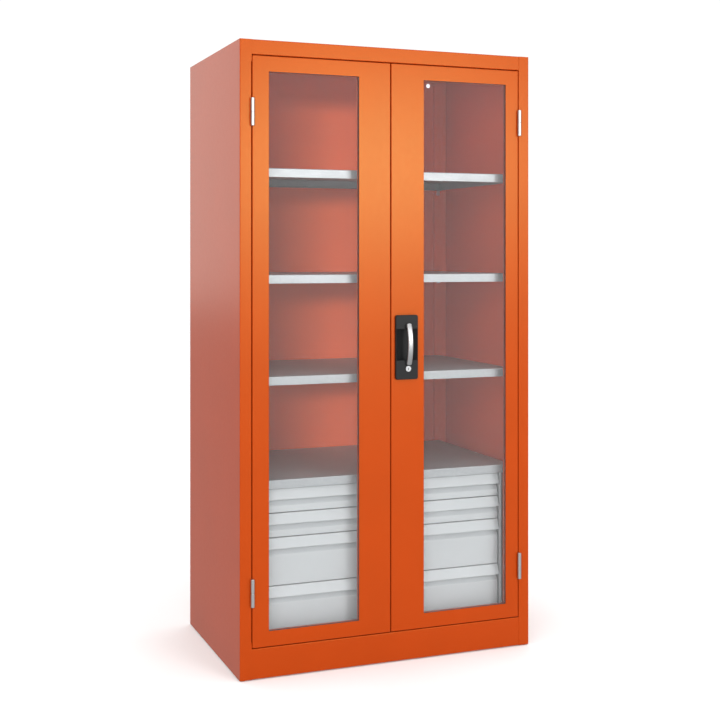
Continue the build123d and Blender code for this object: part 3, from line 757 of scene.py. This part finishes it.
class CABINET_OT_door_skins(bpy.types.Operator):
    """Fold each door's outer sheet round its window"""

    bl_idname = "cabinet.door_skins"
    bl_label = "Door skins"

    def skin(self, side):
        node = f"{side}_door_skin"
        piece = slab(f"{side}_door_sheet", *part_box(node))
        choose(piece, "FACE", lambda face: face.normal.y > FACING)
        bpy.ops.mesh.delete(type="FACE")
        opened(piece, window(side))
        if side == "right":
            opened(piece, self.recess_room())
        choose(piece, "EDGE", folded)
        bpy.ops.mesh.bevel(offset=sizes().fold, segments=4, affect="EDGES")
        modified(piece, "SOLIDIFY", thickness=sizes().door_sheet, offset=-1)
        if side == "right":
            self.bored(piece, "handle_spindle", sizes().spindle)
            self.bored(piece, "cylinder_body", sizes().cylinder)
        softened(piece, sizes().hem)
        settle(piece, slot_name(node), body_name(node), node)

    def recess_room(self):
        """Left, right, foot and head of the opening for the finger recess."""
        low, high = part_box("handle_plate")
        centre = (low.x + high.x) / 2
        reach = sizes().recess_reach
        foot = low.z + sizes().recess_foot - sizes().recess_room
        head = foot + sizes().recess_height + 2 * sizes().recess_room
        return centre - reach, centre + reach, foot, head

    def bored(self, piece, node, diameter):
        """Hole in the sheet for a round piece that passes through it."""
        low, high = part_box(node)
        centre = (low + high) / 2
        reach = 10 * MM
        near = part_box("right_door_skin")[0].y - reach
        start = (centre.x, near, centre.z)
        end = (centre.x, near + 2 * reach, centre.z)
        hole = round_bar("hole", start, end, sizes().barrel_room + diameter / 2)
        combined(piece, hole, "DIFFERENCE")

    def execute(self, context):
        self.skin("left")
        self.skin("right")
        return {"FINISHED"}


class CABINET_OT_glazing(bpy.types.Operator):
    """Add the panes with ground edges and the seals round them"""

    bl_idname = "cabinet.glazing"
    bl_label = "Panes and seals"

    def execute(self, context):
        values = sizes()
        for side in SIDES:
            pane_node = f"{side}_window_pane"
            low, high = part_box(pane_node)
            pane = slab(f"{side}_pane", low, high)
            softened(pane, values.ground_edge, segments=1)
            settle(pane, slot_name(pane_node), body_name(pane_node), pane_node)
            tape_node = f"{side}_window_tapes"
            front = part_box(tape_node)[0].y
            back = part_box(tape_node)[1].y
            opening = window(side)
            rings = [
                flat_ring("front_tape", opening, front, low.y, values.tape_reach),
                flat_ring("rear_tape", opening, high.y, back, values.tape_reach),
            ]
            seal = joined(f"{side}_window_seal", rings)
            settle(seal, slot_name(tape_node), body_name(tape_node), tape_node)
        return {"FINISHED"}


class CABINET_OT_door_frames(bpy.types.Operator):
    """Soften the second sheet inside each door"""

    bl_idname = "cabinet.door_frames"
    bl_label = "Inner door frames"

    def execute(self, context):
        for side in SIDES:
            dressed(f"{side}_door_inner_frame", sizes().hem)
        return {"FINISHED"}


class CABINET_OT_hinges(bpy.types.Operator):
    """Round the edges of the hinge barrels and their leaves"""

    bl_idname = "cabinet.hinges"
    bl_label = "Hinges"

    def execute(self, context):
        for node in ("hinge_frame_knuckles", "left_hinge_knuckles", "right_hinge_knuckles"):
            dressed(node, sizes().barrel_edge, segments=3)
        return {"FINISHED"}


class CABINET_OT_handle_plate(bpy.types.Operator):
    """Mould the handle plate with its finger recess"""

    bl_idname = "cabinet.handle_plate"
    bl_label = "Handle plate"

    def execute(self, context):
        values = sizes()
        node = "handle_plate"
        low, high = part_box(node)
        door_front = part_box("right_door_skin")[0].y
        centre = (low.x + high.x) / 2
        plate = slab("plate_moulding", low, (high.x, door_front, high.z))
        choose(plate, "EDGE", lambda edge: along(edge, 1))
        bpy.ops.mesh.bevel(offset=values.plate_corner, segments=10, affect="EDGES")
        choose(plate, "EDGE", lambda edge: abs(middle(edge).y - low.y) < SAME_PLACE)
        bpy.ops.mesh.bevel(offset=values.plate_edge, segments=4, affect="EDGES")
        foot = low.z + values.recess_foot
        head = foot + values.recess_height
        half_chord = (high.x - low.x) / 2 - values.recess_border
        deep = high.y - low.y - values.recess_wall
        radius = (half_chord ** 2 + deep ** 2) / (2 * deep)
        axis_y = low.y + deep - radius
        wall = values.recess_wall
        tub_foot = (centre, axis_y, foot - wall)
        tub_head = (centre, axis_y, head + wall)
        tub = round_bar("tub", tub_foot, tub_head, radius + wall, RECESS_SIDES)
        choose(tub, "FACE", everything)
        bpy.ops.mesh.bisect(
            plane_co=(0, door_front - MM, 0), plane_no=(0, 1, 0), use_fill=True, clear_inner=True
        )
        combined(plate, tub, "UNION")
        scoop = round_bar("scoop", (centre, axis_y, foot), (centre, axis_y, head), radius, RECESS_SIDES)
        combined(plate, scoop, "DIFFERENCE")
        holes = (("handle_spindle", values.spindle), ("cylinder_body", values.cylinder))
        for round_node, diameter in holes:
            near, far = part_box(round_node)
            at = (near + far) / 2
            start = (at.x, low.y - MM, at.z)
            end = (at.x, high.y, at.z)
            hole = round_bar("hole", start, end, diameter / 2 + values.turning_room)
            combined(plate, hole, "DIFFERENCE")
        softened(plate, values.plate_arris, angle=50)
        settle(plate, slot_name(node), body_name(node), node)
        return {"FINISHED"}


class CABINET_OT_lever(bpy.types.Operator):
    """Spin a rounded bar into the bow of the lever and round its ends"""

    bl_idname = "cabinet.lever"
    bl_label = "Bow lever"

    def execute(self, context):
        values = sizes()
        node = "handle_lever"
        low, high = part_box(node)
        centre = (low + high) / 2
        width = high.x - low.x
        length = high.z - low.z
        thick = values.lever_thick
        bow = high.y - low.y - thick
        neutral = high.y - thick / 2
        radius = (length ** 2 / 4 + bow ** 2) / (2 * bow)
        half_turn = math.asin(length / 2 / radius)
        clear_selection()
        bpy.ops.mesh.primitive_plane_add(size=1, location=(centre.x, neutral - bow, centre.z))
        lever = bpy.context.object
        lever.name = "bow_lever"
        lever.scale = (width, thick, 1)
        bpy.ops.object.transform_apply(location=True, rotation=True, scale=True)
        choose(lever, "FACE", everything)
        bpy.ops.mesh.bevel(offset=thick / 2 - values.lever_flat, segments=8, affect="VERTICES")
        axis_place = (centre.x, neutral - bow + radius, centre.z)
        bpy.ops.mesh.select_all(action="SELECT")
        bpy.ops.transform.rotate(value=half_turn, orient_axis="X", center_override=axis_place)
        bpy.ops.mesh.spin(steps=64, angle=2 * half_turn, center=axis_place, axis=(-1, 0, 0))
        bpy.ops.mesh.select_all(action="SELECT")
        bpy.ops.mesh.remove_doubles(threshold=SAME_CORNER)
        bpy.ops.mesh.normals_make_consistent(inside=False)
        for z in (low.z + width / 2, high.z - width / 2):
            start = (centre.x, neutral - bow / 4, z)
            end = (centre.x, high.y, z)
            pad = round_bar("pad", start, end, width / 2 - values.lever_flat)
            combined(lever, pad, "UNION")
        outline = slab("outline", (low.x - MM, low.y - MM, low.z), (high.x + MM, high.y, high.z))
        choose(outline, "EDGE", lambda edge: along(edge, 1))
        bpy.ops.mesh.bevel(offset=width / 2, segments=24, affect="EDGES")
        combined(lever, outline, "INTERSECT")
        softened(lever, values.lever_edge, segments=3, angle=50)
        settle(lever, slot_name(node), body_name(node), node)
        return {"FINISHED"}


class CABINET_OT_key_cylinder(bpy.types.Operator):
    """Turn the cylinder's rim and the slotted plug"""

    bl_idname = "cabinet.key_cylinder"
    bl_label = "Key cylinder"

    def execute(self, context):
        values = sizes()
        low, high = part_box("cylinder_body")
        plug_low, plug_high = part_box("key_plug")
        x = (low.x + high.x) / 2
        z = (low.z + high.z) / 2
        plate_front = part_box("handle_plate")[0].y
        rim_radius = (high.x - low.x) / 2
        body = round_bar("cylinder_rim", (x, low.y, z), (x, plate_front, z), rim_radius, TURNED_SIDES)
        softened(body, values.rim_edge, segments=3)
        start = (x, plate_front - values.rim_edge, z)
        barrel = round_bar("barrel", start, (x, high.y, z), values.cylinder / 2, TURNED_SIDES)
        combined(body, barrel, "UNION")
        plug_radius = (plug_high.x - plug_low.x) / 2
        bore_radius = plug_radius + values.turning_room / 2
        bore = round_bar("bore", (x, low.y - MM, z), (x, high.y + MM, z), bore_radius, TURNED_SIDES)
        combined(body, bore, "DIFFERENCE")
        settle(body, "satin_chrome", body_name("cylinder_body"), "cylinder_body")
        front = plug_low.y
        plug = round_bar("slotted_plug", (x, front, z), (x, plug_high.y, z), plug_radius, TURNED_SIDES)
        half_wide = values.key_slot / 2
        half_tall = values.key_slot_height / 2
        slot_low = (x - half_wide, front - MM, z - half_tall)
        slot_high = (x + half_wide, front + values.key_slot_deep, z + half_tall)
        combined(plug, slab("slot", slot_low, slot_high), "DIFFERENCE")
        softened(plug, values.hem, angle=50)
        settle(plug, "satin_chrome", body_name("key_plug"), "key_plug")
        return {"FINISHED"}


class CABINET_OT_lock_drive(bpy.types.Operator):
    """Soften the rods, guides, pinion and cover of the lock, and screw the cover down"""

    bl_idname = "cabinet.lock_drive"
    bl_label = "Lock drive"

    def screw(self, x, y, z):
        """Round head with a cross recess."""
        values = sizes()
        head = round_bar("screw", (x, y, z), (x, y + values.screw_head, z), values.screw / 2, sides=32)
        softened(head, values.screw_head / 3, segments=3)
        near = y + values.screw_head / 2
        far = y + 2 * values.screw_head
        reach = values.screw * CROSS_REACH
        slim = values.screw * CROSS_WIDTH
        for wide, tall in ((reach, slim), (slim, reach)):
            notch = slab("notch", (x - wide, near, z - tall), (x + wide, far, z + tall))
            combined(head, notch, "DIFFERENCE")
        return head

    def execute(self, context):
        for node in ("upper_lock_rod", "lower_lock_rod", "rod_guides", "lock_cover", "catch_plates"):
            dressed(node, sizes().hem)
        for node in ("drive_pinion", "handle_spindle", "cylinder_cam"):
            dressed(node, sizes().hem, segments=1)
        low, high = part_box("lock_cover")
        inset = sizes().screw_inset
        screws = [
            self.screw(x, high.y, z)
            for x in (low.x + inset, high.x - inset)
            for z in (low.z + inset, high.z - inset)
        ]
        settle(joined("cover_screws", screws), "zinc_steel", body_name("lock_cover"))
        return {"FINISHED"}


class CABINET_OT_shelves(bpy.types.Operator):
    """Fold the four shelves with their deep front lips"""

    bl_idname = "cabinet.shelves"
    bl_label = "Shelves"

    def shelf(self, node):
        values = sizes()
        low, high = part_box(node)
        piece = slab(f"{node}_sheet", low, high)
        choose(piece, "FACE", lambda face: face.normal.z < -FACING)
        bpy.ops.mesh.delete(type="FACE")
        choose(piece, "EDGE", folded)
        bpy.ops.mesh.bevel(offset=values.fold, segments=4, affect="EDGES")
        for edge_y, inward in ((low.y, 1), (high.y, -1)):
            corner = Vector((0, edge_y, low.z))
            choose(piece, "EDGE", lambda edge: along(edge, 0) and at_corner(edge, corner))
            step = (0, inward * values.shelf_return, 0)
            bpy.ops.mesh.extrude_region_move(TRANSFORM_OT_translate={"value": step})
        modified(piece, "SOLIDIFY", thickness=values.door_sheet, offset=-1)
        softened(piece, values.hem)
        settle(piece, slot_name(node), body_name(node), node)

    def execute(self, context):
        for number in range(1, 5):
            self.shelf(f"shelf_{number}")
        return {"FINISHED"}


class CABINET_OT_drawers(bpy.types.Operator):
    """Fold the drawer fronts with their full-width grips, and soften boxes and runners"""

    bl_idname = "cabinet.drawers"
    bl_label = "Drawers"

    def front(self, node):
        values = sizes()
        low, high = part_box(node)
        half = values.door_sheet / 2
        face = low.y + values.grip_reach
        under = high.z - values.grip_height - values.grip_under
        corners = [
            (high.y - half, high.z - values.face_turn),
            (high.y - half, high.z - half),
            (face, high.z - half),
            (low.y + half, high.z - values.grip_height),
            (low.y + values.grip_recess, under),
            (face, under - values.grip_slope),
            (face, low.z + half),
            (high.y - half, low.z + half),
            (high.y - half, low.z + values.face_turn),
        ]
        piece = folded_sheet(
            f"{node}_sheet", corners, low.x, high.x, values.door_sheet, values.face_fold, values.hem
        )
        settle(piece, slot_name(node), body_name(node), node)

    def execute(self, context):
        for number in range(1, 5):
            self.front(f"drawer_{number}_front")
            dressed(f"drawer_{number}_box", sizes().hem)
            dressed(f"drawer_{number}_rails", sizes().hem)
        return {"FINISHED"}


class CABINET_OT_feet(bpy.types.Operator):
    """Turn the four feet with their studs and nuts"""

    bl_idname = "cabinet.feet"
    bl_label = "Feet"

    def foot(self, x, y, top):
        values = sizes()
        pad = round_bar("foot", (x, y, 0), (x, y, values.foot_pad), values.foot / 2)
        choose(pad, "FACE", lambda face: face.normal.z > FACING)
        bpy.ops.mesh.inset(thickness=(values.foot - values.stud) / 2)
        step = (0, 0, top - values.foot_pad)
        bpy.ops.mesh.extrude_region_move(TRANSFORM_OT_translate={"value": step})
        softened(pad, values.foot_edge, segments=3)
        return pad

    def nut(self, x, y, foot):
        values = sizes()
        head = foot + values.nut_height
        piece = round_bar("nut", (x, y, foot), (x, y, head), values.nut / 2, sides=6)
        bore = round_bar("bore", (x, y, foot - MM), (x, y, head + MM), values.stud / 2, sides=48)
        combined(piece, bore, "DIFFERENCE")
        softened(piece, values.hem)
        return piece

    def execute(self, context):
        values = sizes()
        low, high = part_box("levelling_feet")
        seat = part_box("corner_gussets")[1].z
        across = (low.x + values.foot / 2, high.x - values.foot / 2)
        deep = (low.y + values.foot / 2, high.y - values.foot / 2)
        places = [(x, y) for x in across for y in deep]
        feet = joined("round_feet", [self.foot(x, y, high.z) for x, y in places])
        settle(feet, "orange_paint", body_name("levelling_feet"), "levelling_feet")
        nuts = joined("foot_nuts", [self.nut(x, y, seat) for x, y in places])
        settle(nuts, "zinc_steel", body_name("levelling_feet"))
        return {"FINISHED"}


class CABINET_OT_catches(bpy.types.Operator):
    """Soften the magnet catches"""

    bl_idname = "cabinet.catches"
    bl_label = "Magnet catches"

    def execute(self, context):
        dressed("magnet_catches", sizes().catch_edge, segments=3)
        return {"FINISHED"}


class CABINET_OT_stage(bpy.types.Operator):
    """Add the floor, the softboxes, the surroundings and the camera"""

    bl_idname = "cabinet.stage"
    bl_label = "Studio"

    middle_height = Vector((0, 0, 1))

    def softbox(self, name, place, size, power):
        """Rectangular light that faces the middle of the cabinet."""
        bpy.ops.object.light_add(type="AREA", location=place)
        light = bpy.context.object
        light.name = name
        light.rotation_euler = (self.middle_height - Vector(place)).to_track_quat("-Z", "Y").to_euler()
        light.data.shape = "RECTANGLE"
        light.data.size = size[0]
        light.data.size_y = size[1]
        light.data.energy = power
        light.visible_camera = False

    def rising(self, tree, value, start, end, strength, base=0.0):
        """Strength that changes smoothly from its base as the value goes from start to end."""
        ramp = tree.nodes.new("ShaderNodeMapRange")
        ramp.interpolation_type = "SMOOTHSTEP"
        ramp.inputs["From Min"].default_value = start
        ramp.inputs["From Max"].default_value = end
        ramp.inputs["To Min"].default_value = base
        ramp.inputs["To Max"].default_value = strength
        tree.links.new(value, ramp.inputs["Value"])
        return ramp.outputs["Result"]

    def surroundings(self, values):
        """Soft light all round, stronger behind the cabinet and strongest overhead."""
        world = bpy.data.worlds.new("white_surroundings")
        world.use_nodes = True
        tree = world.node_tree
        place = tree.nodes.new("ShaderNodeTexCoord")
        toward = tree.nodes.new("ShaderNodeVectorMath")
        toward.operation = "DOT_PRODUCT"
        toward.inputs[1].default_value = TOWARD_BACKDROP
        tree.links.new(place.outputs["Generated"], toward.inputs[0])
        parts = tree.nodes.new("ShaderNodeSeparateXYZ")
        tree.links.new(place.outputs["Generated"], parts.inputs["Vector"])
        height = parts.outputs["Z"]
        nearness = toward.outputs["Value"]
        behind = self.rising(tree, nearness, start=0.7, end=0.9, strength=values.backdrop)
        overhead = self.rising(tree, height, start=0.4, end=1.0, strength=values.zenith)
        around = self.rising(
            tree, height, start=-0.35, end=0.0, strength=values.ambient, base=values.underfoot
        )
        total = tree.nodes.new("ShaderNodeMath")
        tree.links.new(behind, total.inputs[0])
        tree.links.new(overhead, total.inputs[1])
        level = tree.nodes.new("ShaderNodeMath")
        tree.links.new(total.outputs["Value"], level.inputs[0])
        tree.links.new(around, level.inputs[1])
        back = tree.nodes["Background"]
        back.inputs["Color"].default_value = (1, 1, 1, 1)
        tree.links.new(level.outputs["Value"], back.inputs["Strength"])
        bpy.context.scene.world = world

    def execute(self, context):
        values = studio()
        clear_selection()
        bpy.ops.mesh.primitive_plane_add(size=values.floor_width, location=(0, 0, 0))
        floor = bpy.context.object
        floor.name = "studio_floor"
        bpy.ops.object.transform_apply(location=True, rotation=True, scale=True)
        material, tree, shader, coords = blank_material("pale_floor")
        drift = noise(tree, coords, scale=0.6, detail=2)
        tree.links.new(shaded(tree, drift, FLOOR_WHITE, spread=0.01), shader.inputs["Base Color"])
        shader.inputs["Roughness"].default_value = 0.9
        shader.inputs["Specular IOR Level"].default_value = 0.1
        floor.data.materials.append(material)
        floor.visible_glossy = False
        self.softbox("key_softbox", values.key_place, values.key_size, values.key_power)
        self.softbox("fill_softbox", values.fill_place, values.fill_size, values.fill_power)
        self.softbox("side_softbox", values.side_place, values.side_size, values.side_power)
        self.surroundings(values)
        turn = (math.pi / 2, 0, -math.radians(values.yaw))
        bpy.ops.object.camera_add(location=values.camera_place, rotation=turn)
        camera = bpy.context.object
        camera.data.lens = values.lens
        camera.data.sensor_width = 36
        camera.data.shift_x = values.shift_across
        camera.data.shift_y = values.shift_up
        context.scene.camera = camera
        context.scene.view_settings.view_transform = "Standard"
        return {"FINISHED"}


class CABINET_PT_panel(bpy.types.Panel):
    """Lists the cabinet's steps in the sidebar"""

    bl_idname = "CABINET_PT_panel"
    bl_label = "Storage cabinet"
    bl_space_type = "VIEW_3D"
    bl_region_type = "UI"
    bl_category = "Cabinet"

    def draw(self, context):
        for step in STEPS:
            self.layout.operator(step.bl_idname)


GROUPS = {
    "cabinet_sizes": CabinetSizes,
    "cabinet_colours": CabinetColours,
    "cabinet_studio": CabinetStudio,
}
STEPS = (
    CABINET_OT_finishes,
    CABINET_OT_carcass,
    CABINET_OT_door_skins,
    CABINET_OT_door_frames,
    CABINET_OT_glazing,
    CABINET_OT_hinges,
    CABINET_OT_handle_plate,
    CABINET_OT_lever,
    CABINET_OT_key_cylinder,
    CABINET_OT_lock_drive,
    CABINET_OT_shelves,
    CABINET_OT_drawers,
    CABINET_OT_catches,
    CABINET_OT_feet,
    CABINET_OT_stage,
)


def register():
    for name, group in GROUPS.items():
        bpy.utils.register_class(group)
        setattr(bpy.types.Scene, name, bpy.props.PointerProperty(type=group))
    for step in STEPS:
        bpy.utils.register_class(step)
    bpy.utils.register_class(CABINET_PT_panel)


def unregister():
    bpy.utils.unregister_class(CABINET_PT_panel)
    for step in reversed(STEPS):
        bpy.utils.unregister_class(step)
    for name, group in GROUPS.items():
        delattr(bpy.types.Scene, name)
        bpy.utils.unregister_class(group)


def main():
    register()
    bpy.ops.cabinet.finishes()
    bpy.ops.cabinet.carcass()
    bpy.ops.cabinet.door_skins()
    bpy.ops.cabinet.door_frames()
    bpy.ops.cabinet.glazing()
    bpy.ops.cabinet.hinges()
    bpy.ops.cabinet.handle_plate()
    bpy.ops.cabinet.lever()
    bpy.ops.cabinet.key_cylinder()
    bpy.ops.cabinet.lock_drive()
    bpy.ops.cabinet.shelves()
    bpy.ops.cabinet.drawers()
    bpy.ops.cabinet.catches()
    bpy.ops.cabinet.feet()
    bpy.ops.cabinet.stage()


if __name__ == "__main__":
    main()
